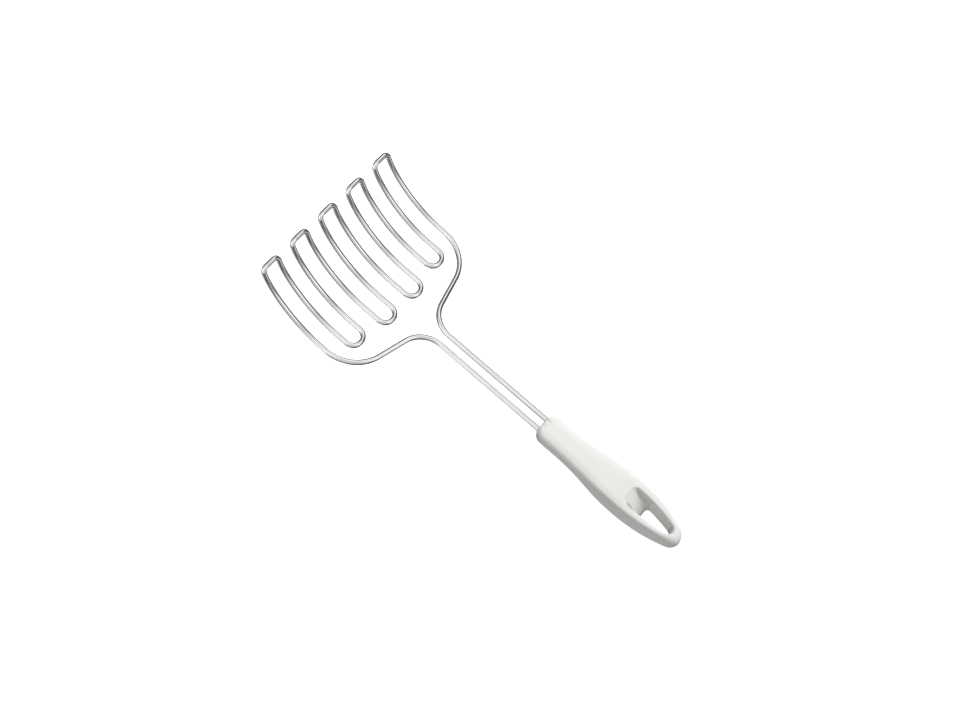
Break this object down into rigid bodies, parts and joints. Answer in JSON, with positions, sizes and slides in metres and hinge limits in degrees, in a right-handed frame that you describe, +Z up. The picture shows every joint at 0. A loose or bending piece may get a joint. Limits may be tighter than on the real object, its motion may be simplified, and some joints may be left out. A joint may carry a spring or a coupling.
{
  "type": "potato_masher",
  "caption": "Potato masher with a flat head of bent wire fingers that curl upward, a twin wire neck and a moulded plastic handle with a hang hole, for mashing boiled vegetables by hand.",
  "frame": {"origin": "below the middle of the whole length, on the plane of the handle's underside", "axes": "+X from the handle's butt to the head, +Y to the left, +Z up on the side the fingers curl to"},
  "size_m": [0.2708, 0.11, 0.0337],
  "materials": {
    "bright_steel": "bright polished drawn wire",
    "white_plastic": "glossy moulded white plastic"
  },
  "bodies": {
    "root": {"wire": "bright_steel", "handle": "white_plastic"}
  },
  "joints": []
}
